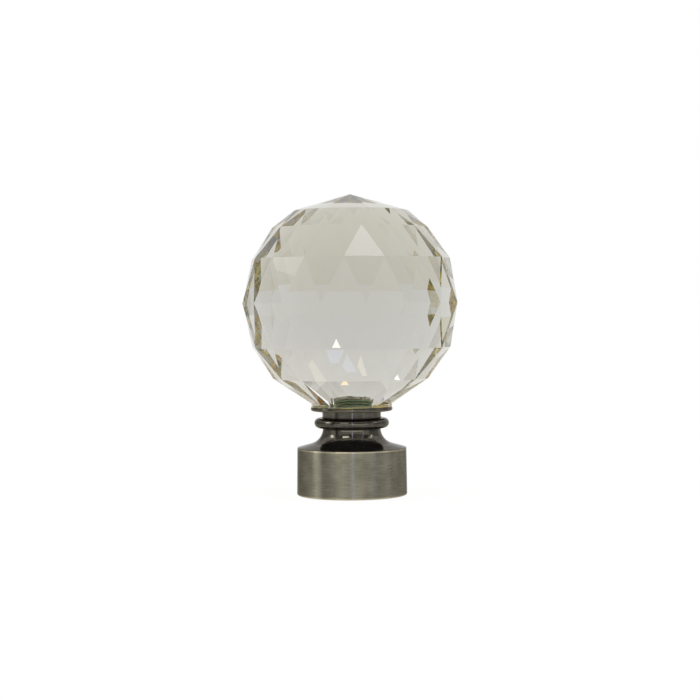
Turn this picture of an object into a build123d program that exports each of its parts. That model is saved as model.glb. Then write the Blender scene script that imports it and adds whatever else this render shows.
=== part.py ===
from build123d import *
from math import acos, cos, degrees, radians, sin, sqrt, tan
import os

os.makedirs("parts", exist_ok=True)

# A cut glass ball on a turned metal end cap that goes over the end of a curtain pole.
# Millimetres. +Z runs up the axis, and z = 0 is the mouth of the pole socket.
# The front of the part faces -Y, and azimuths are counted from the front towards +X.

# Cut glass ball: rings of facet corners, all on one sphere
ball_diameter = 60.0
facets_around = 16
cut_turn = 7.65
middle_ring_latitude = 24.0
upper_ring_step = 19.7
crown_ring_step = 14.3
ball_foot_inset = 0.2
ball_foot_height = 0.8

# Hole drilled in the foot of the ball, and the glue that fills it over the stud
drilled_hole_depth = 8.4
glue_thickness = 0.25
glue_over_stud = 0.7

# Threaded stud between the cap and the ball
stud_diameter = 8.0
stud_end_chamfer = 0.6
tapped_hole_spare_depth = 1.0
drill_point_angle = 118.0
thread_clearance = 0.05

# End cap: the drum and its pole socket
pole_diameter = 25.0
pole_clearance = 0.2
socket_mouth_chamfer = 0.4
drum_wall_at_mouth = 2.55
drum_wall_at_top = 2.4
drum_height = 13.1
drum_edge_round = 0.25
drum_mouth_edge_round = 0.4
drum_roof_thickness = 2.55
core_under_stud_hole = 2.8

# End cap: cove, bead, neck and collar over the drum
shoulder_slope = 15.5
cove_radius = 4.5
cove_waist_diameter = 16.0
bead_diameter = 20.7
bead_thickness = 2.8
neck_diameter = 16.25
neck_height = 1.95
collar_diameter = 22.7
collar_thickness = 1.13
collar_edge_round = 0.5

# Grub screw in the back of the drum, which locks the cap on the pole
grub_screw_diameter = 4.0
grub_screw_sink = 0.25
grub_screw_inner_gap = 0.05
grub_screw_chamfer = 0.3
hex_key_size = 2.0
hex_socket_depth = 1.3

# Radii and heights worked out from the sizes
ball_radius = ball_diameter / 2
stud_radius = stud_diameter / 2
stud_hole_radius = stud_radius + thread_clearance
drilled_hole_radius = stud_radius + glue_thickness
socket_radius = pole_diameter / 2 + pole_clearance
drum_mouth_radius = socket_radius + drum_wall_at_mouth
drum_top_radius = socket_radius + drum_wall_at_top
waist_radius = cove_waist_diameter / 2
bead_radius = bead_diameter / 2
bead_roll = bead_thickness / 2
neck_radius = neck_diameter / 2
collar_radius = collar_diameter / 2
collar_rim_round = min(collar_edge_round, 0.45 * collar_thickness)
ball_foot_radius = collar_radius - ball_foot_inset
socket_depth = drum_height - drum_roof_thickness
cove_centre_radius = waist_radius + cove_radius
shoulder_rise = (drum_top_radius - cove_centre_radius) * tan(radians(shoulder_slope))
cove_top = drum_height + shoulder_rise + cove_radius / cos(radians(shoulder_slope))
bead_middle = cove_top + bead_roll
collar_bottom = cove_top + bead_thickness + neck_height
collar_top = collar_bottom + collar_thickness
ball_centre = collar_top + ball_foot_height + sqrt(ball_radius**2 - ball_foot_radius**2)
glue_top = collar_top + drilled_hole_depth
stud_top = glue_top - glue_over_stud
drill_point_depth = stud_hole_radius / tan(radians(drill_point_angle / 2))
stud_hole_bottom = socket_depth + core_under_stud_hole + drill_point_depth
stud_bottom = stud_hole_bottom + tapped_hole_spare_depth
grub_screw_height = drum_height / 2


def facet_ring(latitude, turn):
    """Corners of one ring of facets, at a latitude above the ball's equator."""
    ring_radius = ball_radius * cos(radians(latitude))
    ring_height = ball_centre + ball_radius * sin(radians(latitude))
    corners = []
    for step in range(facets_around):
        azimuth = radians(turn + step * 360 / facets_around)
        corners.append(Vector(ring_radius * sin(azimuth), -ring_radius * cos(azimuth), ring_height))
    return corners


def flat_facet(*corners):
    """One polished facet through its corners."""
    return Face(Wire.make_polygon(corners))


def facet_band(lower, upper, upper_leads):
    """Triangles between two rings that are half a step apart."""
    facets = []
    for step in range(facets_around):
        following = (step + 1) % facets_around
        if upper_leads:
            facets.append(flat_facet(lower[step], lower[following], upper[step]))
            facets.append(flat_facet(upper[step], upper[following], lower[following]))
        else:
            facets.append(flat_facet(upper[step], upper[following], lower[step]))
            facets.append(flat_facet(lower[step], lower[following], upper[following]))
    return facets


def foot_sides(lower, upper):
    """Upright sides of the low foot that the ball stands on."""
    sides = []
    for step in range(facets_around):
        following = (step + 1) % facets_around
        sides.append(flat_facet(lower[step], lower[following], upper[following], upper[step]))
    return sides


def crystal_ball():
    """Ball cut in rings of triangles, with a pointed crown, a low foot and a blind hole."""
    foot_latitude = degrees(acos(ball_foot_radius / ball_radius))
    middle = middle_ring_latitude
    upper = middle + upper_ring_step
    crown = upper + crown_ring_step
    latitudes = [-foot_latitude, -upper, -middle, 0.0, middle, upper, crown]
    half_step = 180 / facets_around
    rings = []
    for level, latitude in enumerate(latitudes):
        turn = cut_turn - half_step if level % 2 == 0 else cut_turn
        rings.append(facet_ring(latitude, turn))
    foot = [Vector(corner.X, corner.Y, collar_top) for corner in rings[0]]
    facets = [flat_facet(*foot)] + foot_sides(foot, rings[0])
    for level in range(len(rings) - 1):
        facets += facet_band(rings[level], rings[level + 1], upper_leads=level % 2 == 0)
    point = Vector(0, 0, ball_centre + ball_radius)
    top_ring = rings[-1]
    for step in range(facets_around):
        facets.append(flat_facet(top_ring[step], top_ring[(step + 1) % facets_around], point))
    ball = Solid(Shell(facets))
    return ball - standing_rod(drilled_hole_radius, collar_top, glue_top)


def standing_rod(radius, bottom, top):
    """Round rod on the axis, from one height to another."""
    rod = Cylinder(radius, top - bottom, align=(Align.CENTER, Align.CENTER, Align.MIN))
    return Pos(0, 0, bottom) * rod


def threaded_stud():
    """Stud at its outside thread diameter, chamfered at both ends."""
    rod = standing_rod(stud_radius, stud_bottom, stud_top)
    return chamfer(rod.edges().filter_by(GeomType.CIRCLE), stud_end_chamfer)


def glue_fill():
    """Cured glue that fills the ball's hole round the stud and over its end."""
    return standing_rod(drilled_hole_radius, collar_top, glue_top) - threaded_stud()


def half_section(*points):
    """Flat shape through points that give the radius and the height."""
    return Polygon(*points, align=None)


def disc_section(radius, bottom, top):
    """Half section of a plain disc between two heights."""
    return half_section((0, bottom), (radius, bottom), (radius, top), (0, top))


def drum_section():
    """Half section of the drum, before its socket is cut."""
    return half_section((0, 0), (drum_mouth_radius, 0), (drum_top_radius, drum_height), (0, drum_height))


def cove_section():
    """Half section of the shoulder and cove: a cone off the drum that runs into a hollow arc."""
    slope = radians(shoulder_slope)
    foot = (cove_centre_radius - cove_radius * sin(slope), cove_top - cove_radius * cos(slope))
    block = half_section(
        (0, drum_height),
        (drum_top_radius, drum_height),
        foot,
        (foot[0], cove_top),
        (0, cove_top),
    )
    return block - Pos(cove_centre_radius, cove_top) * Circle(cove_radius)


def bead_section():
    """Half section of the round bead, with the waist of the cove run up to its middle."""
    bead = Pos(bead_radius - bead_roll, bead_middle) * Circle(bead_roll)
    return bead + disc_section(waist_radius, cove_top, bead_middle)


def neck_section():
    """Half section of the neck, from the middle of the bead to the collar."""
    return disc_section(neck_radius, bead_middle, collar_bottom)


def collar_section():
    """Half section of the collar that carries the ball, with its rim rounded."""
    outline = disc_section(collar_radius, collar_bottom, collar_top)
    rim = outline.vertices().filter_by(lambda corner: corner.X > collar_radius / 2)
    return fillet(rim, collar_rim_round)


def socket_section():
    """Half section of the pole socket and its chamfered mouth."""
    return half_section(
        (0, 0),
        (socket_radius + socket_mouth_chamfer, 0),
        (socket_radius, socket_mouth_chamfer),
        (socket_radius, socket_depth),
        (0, socket_depth),
    )


def stud_hole_section():
    """Half section of the blind tapped hole for the stud, with its drill point."""
    return half_section(
        (0, stud_hole_bottom - drill_point_depth),
        (stud_hole_radius, stud_hole_bottom),
        (stud_hole_radius, collar_top),
        (0, collar_top),
    )


def end_cap():
    """Turned cap: pole socket, drum, cove, bead, neck and collar in one piece."""
    body = drum_section() + cove_section() + bead_section() + neck_section() + collar_section()
    shoulder_edge = body.vertices().sort_by_distance((drum_top_radius, drum_height))[0]
    body = fillet(shoulder_edge, drum_edge_round)
    mouth_edge = body.vertices().sort_by_distance((drum_mouth_radius, 0))[0]
    section = fillet(mouth_edge, drum_mouth_edge_round) - socket_section() - stud_hole_section()
    cap = revolve(Plane.XZ * section, Axis.Z)
    screw_hole_radius = grub_screw_diameter / 2 + thread_clearance
    return cap - across_the_wall(screw_hole_radius, 0, drum_mouth_radius + grub_screw_diameter)


def across_the_wall(radius, inner, outer):
    """Round rod that lies along Y at the grub screw's height, behind the axis."""
    rod = Cylinder(radius, outer - inner, align=(Align.CENTER, Align.CENTER, Align.MIN))
    return Pos(0, inner, grub_screw_height) * Rot(-90, 0, 0) * rod


def drum_radius_at(height):
    """Outside radius of the tapered drum at a height."""
    return drum_mouth_radius + (drum_top_radius - drum_mouth_radius) * height / drum_height


def grub_screw():
    """Headless screw that lies within the drum's wall, with a hex socket in its outer end."""
    inner = socket_radius + grub_screw_inner_gap
    outer = drum_radius_at(grub_screw_height) - grub_screw_sink
    screw = across_the_wall(grub_screw_diameter / 2, inner, outer)
    screw = chamfer(screw.edges().filter_by(GeomType.CIRCLE), grub_screw_chamfer)
    key = extrude(RegularPolygon(hex_key_size / 2, 6, major_radius=False), hex_socket_depth)
    return screw - Pos(0, outer, grub_screw_height) * Rot(90, 0, 0) * key


nodes = {
    "crystal_ball": crystal_ball,
    "threaded_stud": threaded_stud,
    "glue_fill": glue_fill,
    "end_cap": end_cap,
    "grub_screw": grub_screw,
}
for name, build in nodes.items():
    export_step(build(), f"parts/{name}.step")
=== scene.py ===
"""A ball finial for a curtain pole: a cut crystal ball on an antiqued brass end cap.

Metres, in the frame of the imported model: +Z up the common axis, z = 0 at the mouth of the
pole socket, and the front facing -Y. The classes of the finial hold millimetres and degrees,
as a maker has them, and angles round the axis count from the front towards +X.
"""

import logging
import math
from dataclasses import dataclass
from enum import Enum
from typing import Any, Mapping, Sequence

import bmesh
import bpy
from mathutils import Matrix, Vector
from mathutils.noise import noise


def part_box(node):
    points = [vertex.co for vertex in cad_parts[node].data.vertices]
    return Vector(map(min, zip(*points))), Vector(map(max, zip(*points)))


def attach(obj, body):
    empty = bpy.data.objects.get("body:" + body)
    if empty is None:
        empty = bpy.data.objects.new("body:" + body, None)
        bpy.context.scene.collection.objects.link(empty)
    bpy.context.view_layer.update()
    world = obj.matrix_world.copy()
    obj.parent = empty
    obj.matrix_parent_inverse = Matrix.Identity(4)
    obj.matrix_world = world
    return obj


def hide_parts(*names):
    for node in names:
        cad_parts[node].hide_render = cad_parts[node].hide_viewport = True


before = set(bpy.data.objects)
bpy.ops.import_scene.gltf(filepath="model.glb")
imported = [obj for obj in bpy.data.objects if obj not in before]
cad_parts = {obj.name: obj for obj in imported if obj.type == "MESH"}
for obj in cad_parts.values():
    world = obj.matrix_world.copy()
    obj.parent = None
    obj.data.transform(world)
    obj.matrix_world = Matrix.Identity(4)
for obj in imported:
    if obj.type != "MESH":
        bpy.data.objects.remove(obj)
log = logging.getLogger("ball_finial")

MM = 0.001
BODY = "root"
WHITE = "#FFFFFF"

# The sockets of a node that mixes colours share their names, so these go by number.
MIX_FACTOR = 0
MIX_FIRST = 6
MIX_SECOND = 7
MIX_RESULT = 2

Colour = tuple[float, float, float, float]
Point = tuple[float, float]
Socket = bpy.types.NodeSocket
Ring = list[bmesh.types.BMVert]


class Node(Enum):
    """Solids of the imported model."""

    BALL = "crystal_ball"
    STUD = "threaded_stud"
    GLUE = "glue_fill"
    CAP = "end_cap"
    SCREW = "grub_screw"


class Slot(Enum):
    """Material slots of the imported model."""

    GLASS = "cut_glass"
    STUD = "plated_stud"
    GLUE = "cured_glue"
    METAL = "antiqued_brass"
    SCREW = "blackened_screw"


class Making(Enum):
    """How a surface of the cap was finished on the lathe, in the order of its material slots."""

    BRUSHED = "brushed"
    POLISHED = "polished"
    FACED = "faced"


def linear(hex_code: str, alpha: float = 1.0) -> Colour:
    """Turns an sRGB hex colour to linear light.

    Args:
        hex_code: six hex digits after a hash sign.
        alpha: the fourth value of the result.

    Returns:
        Red, green, blue and alpha, in linear light.
    """
    channels = []
    for start in (1, 3, 5):
        value = int(hex_code[start:start + 2], 16) / 255
        channels.append(value / 12.92 if value <= 0.04045 else ((value + 0.055) / 1.055) ** 2.4)
    return (*channels, alpha)


def add_node(
    tree: bpy.types.NodeTree,
    kind: str,
    inputs: Mapping[Any, Any] | None = None,
    stops: Sequence[tuple[float, str]] = (),
    **settings: Any,
) -> bpy.types.Node:
    """Adds one shader node with its settings and links.

    Args:
        tree: the node tree of a material or the world.
        kind: the node's type name, without its "ShaderNode" prefix.
        inputs: for a socket's name, or its number where names repeat, the value or the output
            socket that feeds it.
        stops: for a colour ramp, each stop's place from 0 to 1 and its hex colour.
        settings: the node's own options by name.

    Returns:
        The new node.
    """
    node = tree.nodes.new("ShaderNode" + kind)
    for name, value in settings.items():
        setattr(node, name, value)
    for socket, value in (inputs or {}).items():
        if isinstance(value, bpy.types.NodeSocket):
            tree.links.new(value, node.inputs[socket])
        else:
            node.inputs[socket].default_value = value
    if stops:
        elements = node.color_ramp.elements
        while len(elements) < len(stops):
            elements.new(0.5)
        for element, (place, colour) in zip(elements, stops):
            element.position = place
            element.color = linear(colour)
    return node


def new_material(name: str) -> tuple[bpy.types.Material, bpy.types.NodeTree]:
    """Starts a material with an empty node tree.

    Args:
        name: the material's name.

    Returns:
        The material and its node tree.
    """
    material = bpy.data.materials.new(name)
    material.use_nodes = True
    tree = material.node_tree
    tree.nodes.clear()
    return material, tree


@dataclass(frozen=True)
class CutCrystal:
    """Optical crystal glass, sawn, ground flat and polished facet by facet.

    The eye gets clean prisms: a grey-beige view straight through, and darker olive strips at
    the rim, which are a painted glow standing for light that takes a long way through the glass.
    """

    ior: float = 1.52
    tint: str = "#C9C7BB"
    density: float = 22.0
    # The polishing lap leaves a facet, which is about 12 mm wide, uneven by a few thousandths
    # of a millimetre, so one wave is a little shorter than a facet.
    lap_wave_mm: float = 9.0
    lap_wave_bump: float = 0.004
    # The painted glow in the rim changes its colour within a facet, so a patch of it is just
    # under half a facet wide.
    rim_glow_patch_mm: float = 5.0
    rim_glow_layout: float = 5.1
    rim_glow_after: float = 3.5
    rim_glow_strength: float = 2.1

    def painted_rim_glow(self, tree: bpy.types.NodeTree, place: Socket) -> tuple[Socket, Socket]:
        """Adds a painted glow for light that keeps being thrown about between the facets.

        A render follows a ray through only a few reflections. Near the rim real glass throws it
        on many times more, so instead of black the glass is given a painted glow there, in patches
        of olive, amber, green, blue and pale grey; the blue and amber patches stand for the colours
        that the glass splits light into.

        Args:
            tree: the material's node tree.
            place: the output socket with the point on the ball.

        Returns:
            The output sockets of its colour and its strength.
        """
        # Painted glow: the glass emits coloured patches once a ray has been reflected many times.
        depth = add_node(tree, "LightPath").outputs["Glossy Depth"]
        deep = add_node(tree, "Math", {0: depth, 1: self.rim_glow_after}, operation="GREATER_THAN").outputs[0]
        strength = add_node(tree, "Math", {0: deep, 1: self.rim_glow_strength}, operation="MULTIPLY")
        patches = add_node(
            tree,
            "TexNoise",
            {"Vector": place, "Scale": 1 / (self.rim_glow_patch_mm * MM), "Detail": 1.0, "W": self.rim_glow_layout},
            noise_dimensions="4D",
        )
        colour = add_node(
            tree,
            "ValToRGB",
            {"Fac": patches.outputs["Fac"]},
            stops=[
                (0.29, "#4A6A7A"),
                (0.36, "#222E30"),
                (0.43, "#464E3B"),
                (0.48, "#7D8262"),
                (0.53, "#A1975A"),
                (0.59, "#AC8D40"),
                (0.65, "#C69C48"),
                (0.7, "#D0D3DC"),
            ],
        )
        return colour.outputs["Color"], strength.outputs[0]

    def make(self) -> bpy.types.Material:
        """Builds the material.

        Returns:
            Clear glass that absorbs a little along the light's way, with a painted glow in its rim.
        """
        material, tree = new_material("cut_crystal_polished")
        place = add_node(tree, "TexCoord").outputs["Object"]
        wave = add_node(
            tree, "TexNoise", {"Vector": place, "Scale": 1 / (self.lap_wave_mm * MM), "Detail": 1.0}
        )
        bump = add_node(
            tree, "Bump", {"Strength": self.lap_wave_bump, "Distance": MM, "Height": wave.outputs["Fac"]}
        )
        # Painted glow in the rim, standing for light thrown about between the facets.
        rim_glow_colour, rim_glow_strength = self.painted_rim_glow(tree, place)
        shader = add_node(
            tree,
            "BsdfPrincipled",
            {
                "Base Color": linear(WHITE),
                "Emission Color": rim_glow_colour,
                "Emission Strength": rim_glow_strength,
                "Roughness": 0.0,
                "IOR": self.ior,
                "Transmission Weight": 1.0,
                "Normal": bump.outputs["Normal"],
            },
        )
        absorb = add_node(tree, "VolumeAbsorption", {"Color": linear(self.tint), "Density": self.density})
        add_node(
            tree, "OutputMaterial", {"Surface": shader.outputs["BSDF"], "Volume": absorb.outputs["Volume"]}
        )
        # The painted glow in the rim shows inside the ball alone, so the ball isn't used as a lamp.
        material.cycles.emission_sampling = "NONE"
        return material


@dataclass(frozen=True)
class AntiquedBrass:
    """Brass, chemically darkened and relieved, brushed on the drum and polished on the mouldings.

    Brushing in the lathe leaves fine rings that smear each reflection up and down the drum, and
    relieving rubs its edges back to tan. Polishing leaves the mouldings nearly black in front,
    with small hard highlights and grey sides; the grooves beside the bead are painted dark, for
    patina together with painted shade. The seat under the ball is only faced and stays bright,
    so it throws light back up through the glass.
    """

    making: Making
    relieved: str
    patina: str
    edge_tint: str
    roughness: float
    anisotropy: float
    # The lathe's lines are about 0.05 mm apart, too fine to show, so they are drawn several
    # times further apart up the axis.
    line_mm: float
    line_bump: float
    # The stain of the patina lies in clouds of one to four millimetres, as wide as its surface
    # has room for.
    mottle_mm: float
    # A line runs about this far round before it breaks off.
    streak_mm: float = 3.0
    line_depth_mm: float = 0.05
    # Roughness between the lines and on them, as shares of the mean.
    rough_between: float = 1.15
    rough_on_line: float = 0.9
    metallic: float = 1.0
    rubbed: str = "#CFC6AC"
    rubbed_heights: tuple[float, ...] = ()
    rubbed_reach: float = 0.7
    # Dark colour painted in the grooves beside the bead: patina together with painted shade.
    groove_patina_and_shade: str = "#26231F"
    patina_and_shade_heights: tuple[float, ...] = ()
    patina_and_shade_reach: float = 0.6

    def tinted_near(
        self, tree: bpy.types.NodeTree, colour: Socket, tint: str, heights: Sequence[float], reach: float
    ) -> Socket:
        """Adds a tint that is full at some heights and fades out above and below them.

        Args:
            tree: the material's node tree.
            colour: the output socket with the colour elsewhere.
            tint: the hex colour at the heights.
            heights: the heights in millimetres.
            reach: how far the tint reaches, in millimetres.

        Returns:
            The output socket of the colour, which stays as it was where there are no heights.
        """
        if not heights:
            return colour
        place = add_node(tree, "TexCoord").outputs["Object"]
        level = add_node(tree, "SeparateXYZ", {"Vector": place}).outputs["Z"]
        mask: Any = 0.0
        for height in heights:
            above = add_node(tree, "Math", {0: level, 1: height * MM}, operation="SUBTRACT")
            away = add_node(tree, "Math", {0: above.outputs[0]}, operation="ABSOLUTE")
            here = add_node(
                tree,
                "MapRange",
                {"Value": away.outputs[0], "From Max": reach * MM, "To Min": 1.0, "To Max": 0.0},
                interpolation_type="SMOOTHSTEP",
            )
            mask = add_node(tree, "Math", {0: here.outputs[0], 1: mask}, operation="MAXIMUM").outputs[0]
        return add_node(
            tree, "Mix", {MIX_FACTOR: mask, MIX_FIRST: colour, MIX_SECOND: linear(tint)}, data_type="RGBA"
        ).outputs[MIX_RESULT]

    def make(self) -> bpy.types.Material:
        """Builds the material.

        Returns:
            The metal of one way of making.
        """
        material, tree = new_material(f"antiqued_brass_{self.making.value}")
        place = add_node(tree, "TexCoord").outputs["Object"]
        streaks = 1 / (self.streak_mm * MM)
        stretched = add_node(
            tree,
            "VectorMath",
            {0: place, 1: (streaks, streaks, 1 / (self.line_mm * MM))},
            operation="MULTIPLY",
        )
        lines = add_node(
            tree,
            "TexNoise",
            {"Vector": stretched.outputs["Vector"], "Scale": 1.0, "Detail": 2.0, "Roughness": 0.6},
        ).outputs["Fac"]
        clouds = add_node(
            tree, "TexNoise", {"Vector": place, "Scale": 1 / (self.mottle_mm * MM), "Detail": 4.0}
        )
        wear = add_node(
            tree, "Mix", {"Factor": 0.5, "A": lines, "B": clouds.outputs["Fac"]}, data_type="FLOAT"
        )
        colour = add_node(
            tree, "ValToRGB", {"Fac": wear.outputs[0]}, stops=[(0.35, self.patina), (0.62, self.relieved)]
        ).outputs["Color"]
        colour = self.tinted_near(tree, colour, self.rubbed, self.rubbed_heights, self.rubbed_reach)
        # Patina and painted shade in the grooves beside the bead.
        colour = self.tinted_near(tree, colour, self.groove_patina_and_shade, self.patina_and_shade_heights, self.patina_and_shade_reach)
        rough = add_node(
            tree,
            "MapRange",
            {
                "Value": lines,
                "From Min": 0.3,
                "From Max": 0.7,
                "To Min": self.roughness * self.rough_between,
                "To Max": self.roughness * self.rough_on_line,
            },
        )
        bump = add_node(
            tree, "Bump", {"Strength": self.line_bump, "Distance": self.line_depth_mm * MM, "Height": lines}
        )
        tangent = add_node(tree, "Tangent", direction_type="RADIAL", axis="Z")
        shader = add_node(
            tree,
            "BsdfPrincipled",
            {
                "Base Color": colour,
                "Metallic": self.metallic,
                "Roughness": rough.outputs[0],
                "Anisotropic": self.anisotropy,
                "Anisotropic Rotation": 0.25,
                "Specular Tint": linear(self.edge_tint),
                "Normal": bump.outputs["Normal"],
                "Tangent": tangent.outputs["Tangent"],
            },
        )
        add_node(tree, "OutputMaterial", {"Surface": shader.outputs["BSDF"]})
        return material


@dataclass(frozen=True)
class RolledThread:
    """Steel stud with a rolled thread and a dull olive plating, seen dark green in the glass."""

    # The crest colour holds a painted highlight and the root colour a painted shade.
    crest: str = "#D2E4BE"
    root: str = "#67785D"
    crest_radius_mm: float = 4.0
    root_radius_mm: float = 3.25
    # The grain of the plating is well under 0.1 mm, too fine to show, so it is drawn coarser.
    speckle_mm: float = 0.6
    metallic: float = 0.4
    roughness: float = 0.45

    def make(self) -> bpy.types.Material:
        """Builds the material.

        Returns:
            Dull plated metal, with a painted highlight on the crests of the thread and painted shade in its
            roots.
        """
        material, tree = new_material("plated_steel_rolled_thread")
        place = add_node(tree, "TexCoord").outputs["Object"]
        parts = add_node(tree, "SeparateXYZ", {"Vector": place}).outputs
        flat = add_node(tree, "CombineXYZ", {"X": parts["X"], "Y": parts["Y"]})
        radius = add_node(tree, "VectorMath", {0: flat.outputs[0]}, operation="LENGTH")
        # Painted light and shade: lighter towards the crests of the thread, darker towards its roots.
        height = add_node(
            tree,
            "MapRange",
            {
                "Value": radius.outputs["Value"],
                "From Min": self.root_radius_mm * MM,
                "From Max": self.crest_radius_mm * MM,
            },
        )
        speckle = add_node(
            tree, "TexNoise", {"Vector": place, "Scale": 1 / (self.speckle_mm * MM), "Detail": 3.0}
        )
        crest_light_and_speckle = add_node(
            tree, "Math", {0: height.outputs[0], 1: speckle.outputs["Fac"]}, operation="MULTIPLY"
        )
        colour = add_node(
            tree, "ValToRGB", {"Fac": crest_light_and_speckle.outputs[0]}, stops=[(0.05, self.root), (0.7, self.crest)]
        )
        shader = add_node(
            tree,
            "BsdfPrincipled",
            {"Base Color": colour.outputs["Color"], "Metallic": self.metallic, "Roughness": self.roughness},
        )
        add_node(tree, "OutputMaterial", {"Surface": shader.outputs["BSDF"]})
        return material


@dataclass(frozen=True)
class CuredGlue:
    """Two-part epoxy, stirred and cured: pale, uneven and full of small bubbles."""

    pale: str = "#F0EBDA"
    stained: str = "#969479"
    # Stirring leaves clouds of a millimetre or so.
    cloud_mm: float = 1.3
    # The bubbles are about 0.1 mm across, too fine to show, so they are drawn coarser.
    bubble_mm: float = 0.5
    bubble_depth_mm: float = 0.1
    bubble_bump: float = 0.5
    roughness: float = 0.4

    def make(self) -> bpy.types.Material:
        """Builds the material.

        Returns:
            Cloudy pale resin with stained spots.
        """
        material, tree = new_material("epoxy_cured")
        place = add_node(tree, "TexCoord").outputs["Object"]
        cloud = add_node(
            tree, "TexNoise", {"Vector": place, "Scale": 1 / (self.cloud_mm * MM), "Detail": 5.0}
        )
        colour = add_node(
            tree, "ValToRGB", {"Fac": cloud.outputs["Fac"]}, stops=[(0.38, self.stained), (0.58, self.pale)]
        )
        bubbles = add_node(tree, "TexVoronoi", {"Vector": place, "Scale": 1 / (self.bubble_mm * MM)})
        bump = add_node(
            tree,
            "Bump",
            {
                "Strength": self.bubble_bump,
                "Distance": self.bubble_depth_mm * MM,
                "Height": bubbles.outputs["Distance"],
            },
        )
        shader = add_node(
            tree,
            "BsdfPrincipled",
            {
                "Base Color": colour.outputs["Color"],
                "Roughness": self.roughness,
                "Normal": bump.outputs["Normal"],
            },
        )
        add_node(tree, "OutputMaterial", {"Surface": shader.outputs["BSDF"]})
        return material


@dataclass(frozen=True)
class BlackOxide:
    """Hardened steel with a black oxide bath: dark, slightly oily, paler where a key has rubbed."""

    black: str = "#1B1B1C"
    rubbed: str = "#4A4A48"
    # A key rubs the oxide off in spots a little under a millimetre across.
    rub_mm: float = 0.8
    metallic: float = 0.9
    roughness: float = 0.38

    def make(self) -> bpy.types.Material:
        """Builds the material.

        Returns:
            Near black satin metal.
        """
        material, tree = new_material("black_oxide_steel")
        place = add_node(tree, "TexCoord").outputs["Object"]
        rub = add_node(tree, "TexNoise", {"Vector": place, "Scale": 1 / (self.rub_mm * MM), "Detail": 4.0})
        colour = add_node(
            tree, "ValToRGB", {"Fac": rub.outputs["Fac"]}, stops=[(0.45, self.black), (0.75, self.rubbed)]
        )
        shader = add_node(
            tree,
            "BsdfPrincipled",
            {"Base Color": colour.outputs["Color"], "Metallic": self.metallic, "Roughness": self.roughness},
        )
        add_node(tree, "OutputMaterial", {"Surface": shader.outputs["BSDF"]})
        return material


Finish = CutCrystal | AntiquedBrass | RolledThread | CuredGlue | BlackOxide


def around(radius: float, angle: float, height: float) -> tuple[float, float, float]:
    """A point at a radius and a height, with its angle from the front towards +X in radians."""
    return radius * math.sin(angle), -radius * math.cos(angle), height


def skin(bm: bmesh.types.BMesh, rings: Sequence[Ring], flat_ends: bool = False) -> None:
    """Joins rings of corners with faces, which are triangles where a ring is one point.

    Args:
        bm: the mesh that holds the corners.
        rings: as many corners in each ring, one ring after another.
        flat_ends: whether the first and the last ring get a flat face each.
    """
    count = len(rings[0])
    for lower, upper in zip(rings, rings[1:]):
        for step in range(count):
            following = (step + 1) % count
            corners = [lower[step], lower[following], upper[following], upper[step]]
            bm.faces.new(list(dict.fromkeys(corners)))
    if flat_ends:
        bm.faces.new(rings[0])
        bm.faces.new(rings[-1])


def mesh_object(name: str, bm: bmesh.types.BMesh) -> bpy.types.Object:
    """Puts a finished bmesh in the scene.

    Args:
        name: the object's name.
        bm: the mesh, which is freed.

    Returns:
        The new object, at the origin.
    """
    bmesh.ops.recalc_face_normals(bm, faces=bm.faces)
    mesh = bpy.data.meshes.new(name)
    bm.to_mesh(mesh)
    bm.free()
    piece = bpy.data.objects.new(name, mesh)
    bpy.context.scene.collection.objects.link(piece)
    return piece


def settle(piece: bpy.types.Object, node: Node) -> bpy.types.Object:
    """Hands a piece to the frame: it rides the one body and stands for one solid.

    Args:
        piece: the finished piece.
        node: the solid that it replaces.

    Returns:
        The same piece.
    """
    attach(piece, BODY)
    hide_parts(node.value)
    log.info("%s: %d faces for %s", piece.name, len(piece.data.polygons), node.value)
    return piece


def arc(centre: Point, radius: float, start: float, stop: float, steps: int) -> list[Point]:
    """Points along a round stretch of a half section.

    Args:
        centre: the arc's centre, as radius and height.
        radius: the arc's own radius.
        start: the first angle in degrees, counted from outwards towards up.
        stop: the last angle.
        steps: how many straight pieces stand for the arc.

    Returns:
        The points, both ends among them.
    """
    points = []
    for step in range(steps + 1):
        angle = math.radians(start + (stop - start) * step / steps)
        points.append((centre[0] + radius * math.cos(angle), centre[1] + radius * math.sin(angle)))
    return points


def lathe(section: Sequence[Point], segments: int) -> bmesh.types.BMesh:
    """Turns a half section about the axis.

    Args:
        section: radius and height of each point in millimetres, on the axis at both ends.
        segments: how many steps there are in a turn.

    Returns:
        A closed mesh in metres.
    """
    bm = bmesh.new()
    rings = []
    for radius, height in section:
        if radius == 0:
            rings.append([bm.verts.new((0, 0, height * MM))] * segments)
            continue
        ring = []
        for step in range(segments):
            angle = 2 * math.pi * step / segments
            ring.append(bm.verts.new(around(radius * MM, angle, height * MM)))
        rings.append(ring)
    skin(bm, rings)
    return bm


def cut_with(piece: bpy.types.Object, cutter: bpy.types.Object) -> None:
    """Cuts one closed mesh out of another and drops the cutter.

    Args:
        piece: the mesh that stays.
        cutter: the mesh that is taken away.
    """
    cut = piece.modifiers.new("cut", "BOOLEAN")
    cut.operation = "DIFFERENCE"
    cut.solver = "EXACT"
    cut.object = cutter
    evaluated = piece.evaluated_get(bpy.context.evaluated_depsgraph_get())
    mesh = bpy.data.meshes.new_from_object(evaluated)
    piece.modifiers.clear()
    piece.data = mesh
    bpy.data.objects.remove(cutter)


@dataclass
class Piece:
    """A modelled piece of the finial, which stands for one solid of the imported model."""

    name: str
    node: Node
    slot: Slot
    smooth: bool = False

    def mesh(self) -> bmesh.types.BMesh:
        """The closed mesh, which each piece makes in its own way."""
        raise NotImplementedError

    def build(self, finish: Finish) -> bpy.types.Object:
        """Builds and dresses the piece.

        Args:
            finish: what the piece is made of and how it is finished.

        Returns:
            The piece.
        """
        piece = mesh_object(self.name, self.mesh())
        piece.data.materials.append(finish.make())
        if self.smooth:
            piece.data.shade_smooth()
        return settle(piece, self.node)


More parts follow.
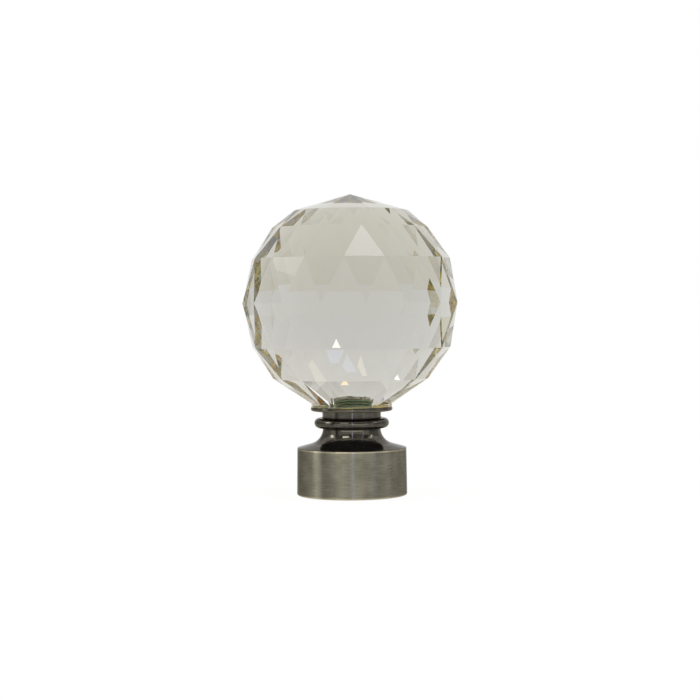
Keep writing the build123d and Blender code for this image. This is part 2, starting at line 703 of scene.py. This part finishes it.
@dataclass
class CrystalBall(Piece):
    """The cut ball: rings of facet corners on one sphere, joined by triangles, over a low foot."""

    name: str = "ball_cut_glass"
    node: Node = Node.BALL
    slot: Slot = Slot.GLASS
    radius: float = 30.0
    foot_height: float = 0.8
    facets_around: int = 16
    cut_turn: float = 7.65
    middle_latitude: float = 24.0
    upper_latitude: float = 43.7
    crown_latitude: float = 58.0
    chip: float = 0.22
    # Chipped corners, each by its ring above the foot and its step round that ring.
    chipped: tuple[tuple[int, int], ...] = (
        (5, -1), (5, 1), (4, -2), (2, -2), (1, -1), (1, 0), (3, 3), (2, 3)
    )

    def centre_height(self) -> float:
        """Height of the ball's centre in millimetres, one radius below its top point."""
        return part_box(self.node.value)[1].z / MM - self.radius

    def latitudes(self) -> list[float]:
        """Works out where the rings of facet corners lie.

        Returns:
            Latitudes in degrees, from the ring round the foot to the crown.
        """
        foot_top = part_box(self.node.value)[0].z / MM + self.foot_height
        foot = math.degrees(math.asin((foot_top - self.centre_height()) / self.radius))
        middle = self.middle_latitude
        upper = self.upper_latitude
        return [foot, -upper, -middle, 0.0, middle, upper, self.crown_latitude]

    def rings(self, bm: bmesh.types.BMesh) -> list[Ring]:
        """Makes the corners of every ring.

        Args:
            bm: the mesh that gets them.

        Returns:
            The rings from the foot to the crown, each turned by half a step from the next.
        """
        made = []
        for level, latitude in enumerate(self.latitudes()):
            turn = self.cut_turn - (180 / self.facets_around if level % 2 == 0 else 0)
            across = self.radius * math.cos(math.radians(latitude))
            height = self.centre_height() + self.radius * math.sin(math.radians(latitude))
            ring = []
            for step in range(self.facets_around):
                azimuth = math.radians(turn + step * 360 / self.facets_around)
                ring.append(bm.verts.new(Vector(around(across, azimuth, height)) * MM))
            made.append(ring)
        return made

    def mesh(self) -> bmesh.types.BMesh:
        """Makes the facets and the small chips at some corners.

        Returns:
            A closed mesh. The glued hole is left solid: cured clear glue bends light as glass
            does, so the eye sees the stud and the glue's rough top standing in the glass.
        """
        bm = bmesh.new()
        rings = self.rings(bm)
        count = self.facets_around
        for level, (lower, upper) in enumerate(zip(rings, rings[1:])):
            for step in range(count):
                following = (step + 1) % count
                if level % 2 == 0:
                    bm.faces.new((lower[step], lower[following], upper[step]))
                    bm.faces.new((upper[step], upper[following], lower[following]))
                else:
                    bm.faces.new((upper[step], upper[following], lower[step]))
                    bm.faces.new((lower[step], lower[following], upper[following]))
        low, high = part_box(self.node.value)
        foot = [bm.verts.new((corner.co.x, corner.co.y, low.z)) for corner in rings[0]]
        bm.faces.new(foot)
        point = bm.verts.new((0, 0, high.z))
        for step in range(count):
            following = (step + 1) % count
            bm.faces.new((foot[step], foot[following], rings[0][following], rings[0][step]))
            bm.faces.new((rings[-1][step], rings[-1][following], point))
        bmesh.ops.bevel(
            bm,
            geom=[rings[level][step % count] for level, step in self.chipped],
            offset=self.chip * MM,
            offset_type="OFFSET",
            segments=1,
            affect="VERTICES",
        )
        return bm


@dataclass
class ThreadedStud(Piece):
    """The stud, with a rolled thread from end to end."""

    name: str = "stud_rolled_thread"
    node: Node = Node.STUD
    slot: Slot = Slot.STUD
    diameter: float = 8.0
    pitch: float = 1.25
    thread_depth: float = 0.72
    # Crest and root are a sixth of the pitch wide each, and the flanks between them straight.
    flank_start: float = 1.25
    flank_slope: float = 1.5
    end_chamfer: float = 0.6
    steps_around: int = 48
    steps_per_pitch: int = 10

    def radius_at(self, height: float, turn: float, bottom: float, top: float) -> float:
        """Radius of the threaded surface.

        Args:
            height: height in millimetres.
            turn: share of a full turn, from 0 to 1.
            bottom: the stud's lower end.
            top: the stud's upper end.

        Returns:
            The radius in millimetres.
        """
        phase = (height / self.pitch - turn) % 1.0
        flank = min(1.0, max(0.0, self.flank_start - abs(2 * phase - 1) * self.flank_slope))
        crest = self.diameter / 2
        radius = crest - self.thread_depth * (1 - flank)
        from_end = min(height - bottom, top - height)
        limit = crest - self.end_chamfer + min(self.end_chamfer, max(0.0, from_end))
        return min(radius, limit)

    def mesh(self) -> bmesh.types.BMesh:
        """Makes the threaded surface and its flat ends.

        Returns:
            A closed mesh.
        """
        low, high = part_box(self.node.value)
        bottom = low.z / MM
        top = high.z / MM
        levels = round((top - bottom) / self.pitch * self.steps_per_pitch)
        bm = bmesh.new()
        rings = []
        for level in range(levels + 1):
            height = bottom + (top - bottom) * level / levels
            ring = []
            for step in range(self.steps_around):
                turn = step / self.steps_around
                radius = self.radius_at(height, turn, bottom, top)
                ring.append(bm.verts.new(around(radius * MM, 2 * math.pi * turn, height * MM)))
            rings.append(ring)
        skin(bm, rings, flat_ends=True)
        return bm


@dataclass
class GlueCap(Piece):
    """The part of the cured glue that can be seen: a rough, pale cap over the stud's end."""

    name: str = "glue_cap"
    node: Node = Node.GLUE
    slot: Slot = Slot.GLUE
    smooth: bool = True
    overhang: float = 0.9
    ragged: float = 0.35
    wall_gap: float = 0.1
    # How finely the wall, the lower edge and the crown are broken up: each follows a noise
    # along a circle of this radius, and the crown's circle lies aside from the others.
    wall_lumps: float = 2.3
    edge_lumps: float = 3.1
    crown_lumps: float = 2.0
    crown_aside: float = 4.0
    wall_lump_depth: float = 0.12
    # The cap rises this many times faster than its rings go, so its last rings lie on the
    # crown. It draws in from this share of its rings on, by this share of its radius.
    rise: float = 1.6
    draws_in_from: float = 0.6
    draws_in_by: float = 0.6
    steps_around: int = 72
    steps_up: int = 10

    def corner(self, angle: float, share: float) -> Vector:
        """Works out one corner of the lumpy surface, inside the space of the glue.

        Args:
            angle: the angle round the axis in radians.
            share: how far up the rings the corner is, from 0 to 1.

        Returns:
            The corner in metres.
        """
        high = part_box(self.node.value)[1]
        stud_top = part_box(Node.STUD.value)[1].z / MM
        way = Vector(around(1, angle, 0))
        lump = noise(way * self.wall_lumps + Vector((0, 0, share)))
        edge = stud_top - self.overhang + self.ragged * noise(way * self.edge_lumps)
        dip = 1 + noise(way * self.crown_lumps + Vector((self.crown_aside, 0, 0)))
        crown = high.z / MM - self.wall_gap - self.ragged * 0.5 * dip
        height = edge + (crown - edge) * min(1.0, share * self.rise)
        drawn_in = max(0.0, share - self.draws_in_from) / (1 - self.draws_in_from)
        wall = (high.x / MM - self.wall_gap) * (1 - self.draws_in_by * drawn_in ** 2)
        radius = wall - self.wall_lump_depth * (1 + lump)
        return Vector((*(way.xy * radius * MM), height * MM))

    def mesh(self) -> bmesh.types.BMesh:
        """Makes the lumpy cap.

        Returns:
            A closed mesh.
        """
        bm = bmesh.new()
        rings = []
        for level in range(self.steps_up + 1):
            ring = []
            for step in range(self.steps_around):
                angle = 2 * math.pi * step / self.steps_around
                ring.append(bm.verts.new(self.corner(angle, level / self.steps_up)))
            rings.append(ring)
        skin(bm, rings, flat_ends=True)
        return bm


@dataclass
class EndCap:
    """The turned cap: pole socket, drum, cove, bead, neck and collar."""

    socket_radius: float = 12.7
    socket_depth: float = 10.55
    socket_mouth_chamfer: float = 0.4
    mouth_edge_round: float = 0.4
    drum_mouth_radius: float = 15.25
    drum_top_radius: float = 15.1
    drum_height: float = 13.1
    drum_edge_round: float = 0.25
    shoulder_slope: float = 15.5
    cove_radius: float = 4.5
    waist_radius: float = 8.0
    bead_radius: float = 10.35
    bead_roll: float = 1.4
    neck_radius: float = 8.125
    neck_height: float = 1.95
    collar_radius: float = 11.35
    collar_thickness: float = 1.13
    collar_edge_round: float = 0.5
    stud_hole_radius: float = 4.05
    stud_hole_bottom: float = 15.784
    drill_point: float = 2.434
    screw_hole_radius: float = 2.05
    # Straight pieces that stand for each round of the outline, and for a turn.
    mouth_steps: int = 8
    edge_steps: int = 6
    curve_steps: int = 32
    rim_steps: int = 10
    segments: int = 256
    screw_hole_segments: int = 48
    # A pale tan band is painted this far above the collar's lower edge.
    lip_band_rise: float = 0.1
    # Faces above this share of the collar's thickness are the seat.
    seat_share: float = 0.99
    # Faces that meet at more than this many degrees show a sharp edge.
    sharp_angle: float = 32.0

    def cove_top(self) -> float:
        """Works out the height of the cove's waist, where the bead begins.

        Returns:
            The height in millimetres.
        """
        slope = math.radians(self.shoulder_slope)
        rise = (self.drum_top_radius - self.waist_radius - self.cove_radius) * math.tan(slope)
        return self.drum_height + rise + self.cove_radius / math.cos(slope)

    def grooves(self) -> tuple[float, ...]:
        """Heights of the two grooves beside the bead."""
        return (self.cove_top(), self.cove_top() + 2 * self.bead_roll)

    def lip(self) -> float:
        """Height of the collar's lower edge."""
        return self.cove_top() + 2 * self.bead_roll + self.neck_height

    def section(self) -> list[Point]:
        """Half section of the cap, from the socket's floor round the outside to the stud's hole.

        Returns:
            Radius and height of each point in millimetres.
        """
        waist = self.cove_top()
        collar_bottom = self.lip()
        collar_top = collar_bottom + self.collar_thickness
        edge = self.drum_edge_round
        edge_drop = edge * math.tan((math.pi / 2 - math.radians(self.shoulder_slope)) / 2)
        bead_centre = self.bead_radius - self.bead_roll
        into_waist = math.degrees(math.acos((self.waist_radius - bead_centre) / self.bead_roll))
        into_neck = math.degrees(math.acos((self.neck_radius - bead_centre) / self.bead_roll))
        mouth_round = self.mouth_edge_round
        rim = self.collar_edge_round
        rim_centre = self.collar_radius - rim
        return [
            (0, self.socket_depth),
            (self.socket_radius, self.socket_depth),
            (self.socket_radius, self.socket_mouth_chamfer),
            (self.socket_radius + self.socket_mouth_chamfer, 0),
            *arc(
                (self.drum_mouth_radius - mouth_round, mouth_round), mouth_round, -90, 0, self.mouth_steps
            ),
            *arc(
                (self.drum_top_radius - edge, self.drum_height - edge_drop),
                edge,
                0,
                90 - self.shoulder_slope,
                self.edge_steps,
            ),
            *arc(
                (self.waist_radius + self.cove_radius, waist),
                self.cove_radius,
                270 - self.shoulder_slope,
                180,
                self.curve_steps,
            ),
            *arc(
                (bead_centre, waist + self.bead_roll),
                self.bead_roll,
                -into_waist,
                into_neck,
                self.curve_steps,
            ),
            (self.neck_radius, collar_bottom),
            *arc((rim_centre, collar_bottom + rim), rim, -90, 0, self.rim_steps),
            *arc((rim_centre, collar_top - rim), rim, 0, 90, self.rim_steps),
            (self.stud_hole_radius, collar_top),
            (self.stud_hole_radius, self.stud_hole_bottom),
            (0, self.stud_hole_bottom - self.drill_point),
        ]

    def screw_cutter(self) -> bpy.types.Object:
        """Makes the rod that cuts the grub screw's hole, along +Y at the drum's middle.

        Returns:
            The cutter.
        """
        bm = bmesh.new()
        reach = (self.drum_mouth_radius + self.screw_hole_radius) * MM
        radius = self.screw_hole_radius * MM
        middle = Matrix.Translation((0, reach / 2, self.drum_height / 2 * MM))
        bmesh.ops.create_cone(
            bm,
            cap_ends=True,
            segments=self.screw_hole_segments,
            radius1=radius,
            radius2=radius,
            depth=reach,
            matrix=middle @ Matrix.Rotation(math.pi / 2, 4, "X"),
        )
        return mesh_object("screw_cutter", bm)

    def finishes(self) -> list[AntiquedBrass]:
        """Gives the drum, the mouldings and the seat their finish.

        Returns:
            The three finishes, in the order of Making.
        """
        brushed = AntiquedBrass(
            making=Making.BRUSHED,
            relieved="#8A877A",
            patina="#6F6D61",
            edge_tint="#B9B8B4",
            roughness=0.36,
            anisotropy=1.0,
            line_mm=0.2,
            line_bump=0.1,
            mottle_mm=4.0,
            rubbed_heights=(0.0, self.drum_height),
        )
        polished = AntiquedBrass(
            making=Making.POLISHED,
            relieved="#5D5A53",
            patina="#474540",
            edge_tint="#CCCAC5",
            roughness=0.08,
            anisotropy=0.0,
            line_mm=0.8,
            line_bump=0.04,
            mottle_mm=1.2,
            metallic=0.86,
            # A pale tan band painted along the collar's lower edge.
            rubbed="#857B69",
            rubbed_heights=(self.lip() + self.lip_band_rise,),
            rubbed_reach=0.4,
            # Patina and painted shade in the grooves beside the bead.
            patina_and_shade_heights=self.grooves(),
        )
        faced = AntiquedBrass(
            making=Making.FACED,
            relieved="#DEDACB",
            patina="#CBC6B4",
            edge_tint="#F4F4F2",
            roughness=0.2,
            anisotropy=0.0,
            line_mm=0.5,
            line_bump=0.05,
            mottle_mm=2.0,
        )
        return [brushed, polished, faced]

    def build(self, finishes: Sequence[AntiquedBrass]) -> bpy.types.Object:
        """Turns the cap, drills it and dresses the drum, the mouldings and the seat.

        Args:
            finishes: the finish of the drum, of the mouldings above its edge, and of the seat
                that the ball stands on.

        Returns:
            The cap.
        """
        piece = mesh_object("cap_turned", lathe(self.section(), self.segments))
        cut_with(piece, self.screw_cutter())
        mesh = piece.data
        mesh.materials.clear()
        for finish in finishes:
            mesh.materials.append(finish.make())
        mouldings = (self.drum_height - self.drum_edge_round * 0.5) * MM
        seat = (self.lip() + self.collar_thickness * self.seat_share) * MM
        for polygon in mesh.polygons:
            height = polygon.center.z
            polygon.material_index = int(height > mouldings) + int(height > seat)
        mesh.shade_smooth()
        mesh.set_sharp_from_angle(angle=math.radians(self.sharp_angle))
        return settle(piece, Node.CAP)


@dataclass
class GrubScrew:
    """The headless screw in the back of the drum, kept as modelled and dressed."""

    node: Node = Node.SCREW

    def dress(self, finish: BlackOxide) -> bpy.types.Object:
        """Gives the screw its finish.

        Args:
            finish: the blackened steel.

        Returns:
            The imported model's own screw.
        """
        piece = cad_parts[self.node.value]
        piece.data.materials.clear()
        piece.data.materials.append(finish.make())
        log.info("%s: kept as modelled", piece.name)
        return piece


def hide_from_camera(piece: bpy.types.Object, lights_matt: bool) -> None:
    """Marks a piece as stage that only mirrors and glass see.

    Args:
        piece: the card or panel.
        lights_matt: whether it lights matt surfaces too.
    """
    piece.visible_camera = False
    piece.visible_shadow = False
    piece.visible_diffuse = lights_matt


@dataclass
class Card:
    """A glowing card of the studio, seen in glass and metal but not by the camera.

    Its place and its size are in degrees, as seen from the ball's centre, and its distance in
    metres.
    """

    name: str
    azimuth: float
    elevation: float
    wide: float
    tall: float
    colour: str
    strength: float
    distance: float = 1.0
    lights_matt: bool = False
    lights_glass: bool = True
    lights_metal: bool = True
    corners: int = 4
    corner_radius: float = 0.75

    def sheet(self) -> bmesh.types.BMesh:
        """Makes a flat sheet: a unit square, or an even-sided sheet of three or five corners.

        Returns:
            The sheet, lying flat.
        """
        bm = bmesh.new()
        if self.corners == 4:
            bmesh.ops.create_grid(bm, x_segments=1, y_segments=1, size=0.5)
        else:
            bmesh.ops.create_circle(bm, cap_ends=True, segments=self.corners, radius=self.corner_radius)
        return bm

    def build(self, centre: Vector) -> bpy.types.Object:
        """Hangs the card so that it faces the ball.

        Args:
            centre: the ball's centre.

        Returns:
            The card.
        """
        lift = math.radians(self.elevation)
        way = Vector(around(math.cos(lift), math.radians(self.azimuth), math.sin(lift)))
        across = 2 * self.distance * math.tan(math.radians(self.wide / 2))
        upright = 2 * self.distance * math.tan(math.radians(self.tall / 2))
        bm = self.sheet()
        bmesh.ops.scale(bm, vec=(across, upright, 1), verts=bm.verts)
        card = mesh_object(self.name, bm)
        card.rotation_mode = "QUATERNION"
        card.rotation_quaternion = (-way).to_track_quat("-Z", "Y")
        card.location = centre + way * self.distance
        material, tree = new_material(self.name)
        glow = add_node(tree, "Emission", {"Color": linear(self.colour), "Strength": self.strength})
        add_node(tree, "OutputMaterial", {"Surface": glow.outputs["Emission"]})
        card.data.materials.append(material)
        hide_from_camera(card, self.lights_matt)
        card.visible_transmission = self.lights_glass
        card.visible_glossy = self.lights_metal
        return card


@dataclass
class MetalCard(Card):
    """A card close to the cap, mirrored in its metal and kept out of the glass."""

    distance: float = 0.32
    lights_glass: bool = False


@dataclass
class FarLamp(Card):
    """A small lamp far behind the ball, which shows as a glint in a facet or two."""

    distance: float = 4.0
    corners: int = 3


@dataclass
class Room:
    """The room in front of the object: a curved panel, pale below and mottled grey above."""

    radius: float = 0.36
    half_turn: float = 75.0
    low: float = 0.035
    high: float = 0.6
    steps: int = 30
    patch: float = 0.14
    grey_above: float = 0.186
    edge: float = 0.01
    pale: str = "#F0EFEA"

    def panel(self) -> bpy.types.Object:
        """Bends the panel round the front of the object.

        Returns:
            The bare panel.
        """
        bm = bmesh.new()
        rows = []
        for height in (self.low, self.high):
            row = []
            for step in range(self.steps + 1):
                turn = math.radians(self.half_turn * (2 * step / self.steps - 1))
                row.append(bm.verts.new(around(self.radius, turn, height)))
            rows.append(row)
        for step in range(self.steps):
            bm.faces.new((rows[0][step], rows[0][step + 1], rows[1][step + 1], rows[1][step]))
        return mesh_object("room_panel", bm)

    def build(self) -> bpy.types.Object:
        """Stands the panel in front of the object and lights it.

        Returns:
            The panel.
        """
        panel = self.panel()
        material, tree = new_material("room_panel")
        place = add_node(tree, "TexCoord").outputs["Object"]
        patches = add_node(
            tree, "TexNoise", {"Vector": place, "Scale": 1 / self.patch, "Detail": 2.0, "Roughness": 0.6}
        )
        greys = add_node(
            tree,
            "ValToRGB",
            {"Fac": patches.outputs["Fac"]},
            stops=[(0.36, "#5B584E"), (0.46, "#8A867A"), (0.54, "#9A978E"), (0.62, "#B4B2AC")],
        )
        upper = add_node(
            tree,
            "MapRange",
            {
                "Value": add_node(tree, "SeparateXYZ", {"Vector": place}).outputs["Z"],
                "From Min": self.grey_above,
                "From Max": self.grey_above + self.edge,
            },
        )
        seen = add_node(
            tree,
            "Mix",
            {
                MIX_FACTOR: upper.outputs[0],
                MIX_FIRST: linear(self.pale),
                MIX_SECOND: greys.outputs["Color"],
            },
            data_type="RGBA",
        )
        glow = add_node(tree, "Emission", {"Color": seen.outputs[MIX_RESULT], "Strength": 1.0})
        add_node(tree, "OutputMaterial", {"Surface": glow.outputs["Emission"]})
        panel.data.materials.append(material)
        hide_from_camera(panel, lights_matt=False)
        return panel


@dataclass
class Studio:
    """Pale floor, pale surroundings, the room in front and the lights."""

    floor_colour: str = "#F4F3EE"
    floor_seen_in_glass: str = "#F0EEE6"
    # Colours of the surroundings by how far up the eye looks: 0 is level, 1 straight up.
    sky: tuple[tuple[float, str], ...] = (
        (0.0, "#F6F7F9"), (0.25, "#F6F7FB"), (0.4, "#FDFDFF"), (0.7, WHITE)
    )
    matt_light: float = 0.8
    # The camera sees this share of the floor as plain white of this strength, and the rest as
    # paper with a shadow on it.
    floor_keep: float = 0.9
    floor_white: float = 1.04
    floor_size: float = 40.0
    # Metres from the object over which the floor seen in glass turns to the sky's lowest colour.
    fade_from: float = 0.15
    fade_to: float = 0.7

    def ways(self, tree: bpy.types.NodeTree) -> tuple[Socket, Socket]:
        """Adds two switches, one for camera rays and one for mirror and glass rays.

        Args:
            tree: the node tree of the floor or the world.

        Returns:
            The switches' output sockets.
        """
        path = add_node(tree, "LightPath").outputs
        shiny = add_node(
            tree, "Math", {0: path["Is Glossy Ray"], 1: path["Is Transmission Ray"]}, operation="MAXIMUM"
        )
        return path["Is Camera Ray"], shiny.outputs[0]

    def build_floor(self) -> bpy.types.Object:
        """Makes the floor: white for the camera, with a faint shadow, and pale in glass and metal.

        Returns:
            The floor.
        """
        bm = bmesh.new()
        bmesh.ops.create_grid(bm, x_segments=1, y_segments=1, size=self.floor_size / 2)
        floor = mesh_object("floor", bm)
        material, tree = new_material("floor_paper")
        camera, shiny = self.ways(tree)
        matt = add_node(tree, "BsdfDiffuse", {"Color": linear(self.floor_colour)})
        white = add_node(tree, "Emission", {"Color": linear(WHITE), "Strength": self.floor_white})
        place = add_node(tree, "TexCoord").outputs["Object"]
        away = add_node(tree, "VectorMath", {0: place}, operation="LENGTH")
        far = add_node(
            tree,
            "MapRange",
            {"Value": away.outputs["Value"], "From Min": self.fade_from, "From Max": self.fade_to},
        )
        fading = add_node(
            tree,
            "Mix",
            {
                MIX_FACTOR: far.outputs[0],
                MIX_FIRST: linear(self.floor_seen_in_glass),
                MIX_SECOND: linear(self.sky[0][1]),
            },
            data_type="RGBA",
        )
        pale = add_node(tree, "Emission", {"Color": fading.outputs[MIX_RESULT], "Strength": 1.0})
        kept = add_node(tree, "Math", {0: camera, 1: self.floor_keep}, operation="MULTIPLY")
        seen = add_node(tree, "MixShader", {0: kept.outputs[0], 1: matt.outputs[0], 2: white.outputs[0]})
        both = add_node(tree, "MixShader", {0: shiny, 1: seen.outputs[0], 2: pale.outputs[0]})
        add_node(tree, "OutputMaterial", {"Surface": both.outputs[0]})
        floor.data.materials.append(material)
        return floor

    def build_world(self) -> None:
        """Surrounds the object with plain pale light, white for the camera."""
        world = bpy.data.worlds.new("studio")
        world.use_nodes = True
        tree = world.node_tree
        tree.nodes.clear()
        camera, shiny = self.ways(tree)
        way = add_node(tree, "TexCoord").outputs["Generated"]
        height = add_node(tree, "SeparateXYZ", {"Vector": way}).outputs["Z"]
        sky = add_node(tree, "ValToRGB", {"Fac": height}, stops=self.sky)
        colour = add_node(
            tree,
            "Mix",
            {MIX_FACTOR: camera, MIX_FIRST: sky.outputs["Color"], MIX_SECOND: linear(WHITE)},
            data_type="RGBA",
        )
        seen = add_node(tree, "Math", {0: camera, 1: shiny}, operation="MAXIMUM")
        level = add_node(
            tree, "MapRange", {"Value": seen.outputs[0], "To Min": self.matt_light, "To Max": 1.0}
        )
        light = add_node(
            tree, "Background", {"Color": colour.outputs[MIX_RESULT], "Strength": level.outputs[0]}
        )
        add_node(tree, "OutputWorld", {"Surface": light.outputs["Background"]})
        bpy.context.scene.world = world

    def cards(self) -> list[Card]:
        """Lists the lights and cards round the object.

        Returns:
            The cards, each with its azimuth, elevation, width, height, colour and strength.
        """
        return [
            # Softbox and windows, seen in glass and metal
            Card("softbox_top", 26, 65, 13, 13, "#FAFBFF", 3.7, lights_matt=True),
            Card("window_left", -86, 30.8, 26, 16, WHITE, 2.2, lights_matt=True),
            Card("window_right", 82, 48, 14, 12, "#F6F8FF", 1.2),
            # Window panes and narrow gaps of daylight, mirrored in the mouldings
            MetalCard("window_mid", -27, 41, 22, 17, "#FFFBF2", 6.0),
            MetalCard("window_side", -88, 25.5, 10.5, 14, "#FFFBF2", 7.5),
            MetalCard("window_far", 88, 27, 4, 18, "#FFFBF2", 6.0),
            MetalCard("gap_blue", 2, 6, 2.2, 80, "#C6D2F4", 6.5, 0.2),
            MetalCard("gap_blue_right", 47, 6, 2.0, 70, "#C4D0EA", 4.0, 0.2),
            MetalCard("front_low", 0, -3.4, 88, 9.6, "#FFFDF6", 2.9, 0.25),
            # Lamps behind the ball, for the glints in its lower half
            FarLamp("lamp_behind", -179.6, 24.0, 0.6, 0.9, "#F1F3FF", 1.22),
            FarLamp("lamp_violet", 174.8, 21.7, 0.5, 0.7, "#EEF1FF", 1.22, corners=5),
            FarLamp("lamp_beige", -174.1, 20.8, 0.4, 0.7, "#FFFDF8", 1.2),
            FarLamp("lamp_left", 159.7, 30.1, 0.9, 1.0, "#FFFEFA", 1.15, corners=5),
            FarLamp("lamp_low_left", 158.6, 49.6, 5.4, 3.4, "#F6F8FF", 1.9, corners=5),
            FarLamp("lamp_low_blue", -148.5, 48.4, 0.3, 0.6, "#8F96DC", 0.9),
            FarLamp("lamp_low_yellow", -158.6, 46.25, 0.2, 0.16, "#F0DA9A", 1.2),
            FarLamp("glint_left", 174.6, 11.3, 0.26, 0.32, WHITE, 1.8),
            FarLamp("glint_right", -153.4, 28.3, 0.4, 0.5, "#FBFCFF", 1.9),
            FarLamp("glint_high", -178.5, 40.86, 0.24, 0.22, "#FFEBD0", 1.9),
            # Warm surfaces that only the glass picks up
            Card("beige_behind", -128, 1, 14, 36, "#ECE8D6", 1.0, lights_metal=False),
            Card("amber_front", 14, 25, 22, 18, "#B57F38", 1.0, 0.34, lights_metal=False),
            # Walls beside the object, which give the drum its pale and grey sides
            MetalCard("side_left", -78, -2, 14, 40, "#FFFDF6", 1.3, 0.3),
            MetalCard("dark_left_front", -61, 2, 11, 50, "#A6A49C", 0.5, 0.3),
            MetalCard("dark_left", -122, 8, 60, 28, "#C4C2BC", 0.9, 0.5),
            MetalCard("dark_right", 98, 8, 56, 28, "#C4C2BC", 0.9, 0.5),
        ]

    def build(self, centre: Vector) -> None:
        """Builds the whole studio.

        Args:
            centre: the ball's centre, which the cards face.
        """
        self.build_floor()
        self.build_world()
        Room().build()
        for card in self.cards():
            card.build(centre)
            log.info("card %s", card.name)


@dataclass
class Portrait:
    """The camera: as far, as high and as long as the photograph shows."""

    distance: float = 450.0
    height: float = 52.6
    aim_height: float = 40.0
    aim_side: float = -0.33
    roll: float = 0.4
    focal_pixels: float = 1627.0
    frame_pixels: int = 700
    sensor: float = 36.0
    # Metres from the camera within which things are seen.
    nearest: float = 0.01
    farthest: float = 20.0

    def build(self) -> bpy.types.Object:
        """Makes the scene's camera.

        Returns:
            The camera.
        """
        data = bpy.data.cameras.new("portrait")
        data.sensor_width = self.sensor
        data.lens = self.sensor * self.focal_pixels / self.frame_pixels
        data.clip_start = self.nearest
        data.clip_end = self.farthest
        camera = bpy.data.objects.new("portrait", data)
        eye = Vector((0, -self.distance, self.height)) * MM
        aim = Vector((self.aim_side, 0, self.aim_height)) * MM
        level = (aim - eye).to_track_quat("-Z", "Y")
        tilt = Matrix.Rotation(math.radians(-self.roll), 3, "Z").to_quaternion()
        camera.rotation_mode = "QUATERNION"
        camera.rotation_quaternion = level @ tilt
        camera.location = eye
        bpy.context.scene.collection.objects.link(camera)
        bpy.context.scene.camera = camera
        return camera


def main() -> None:
    """Builds the finial, then the studio and the camera."""
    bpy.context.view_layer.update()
    Portrait().build()
    ball = CrystalBall()
    ball.build(CutCrystal())
    ThreadedStud().build(RolledThread())
    GlueCap().build(CuredGlue())
    cap = EndCap()
    cap.build(cap.finishes())
    GrubScrew().dress(BlackOxide())
    Studio().build(Vector((0, 0, ball.centre_height() * MM)))
    bpy.context.scene.view_settings.view_transform = "Standard"


if __name__ == "__main__":
    logging.basicConfig(level=logging.INFO, format="%(message)s")
    main()
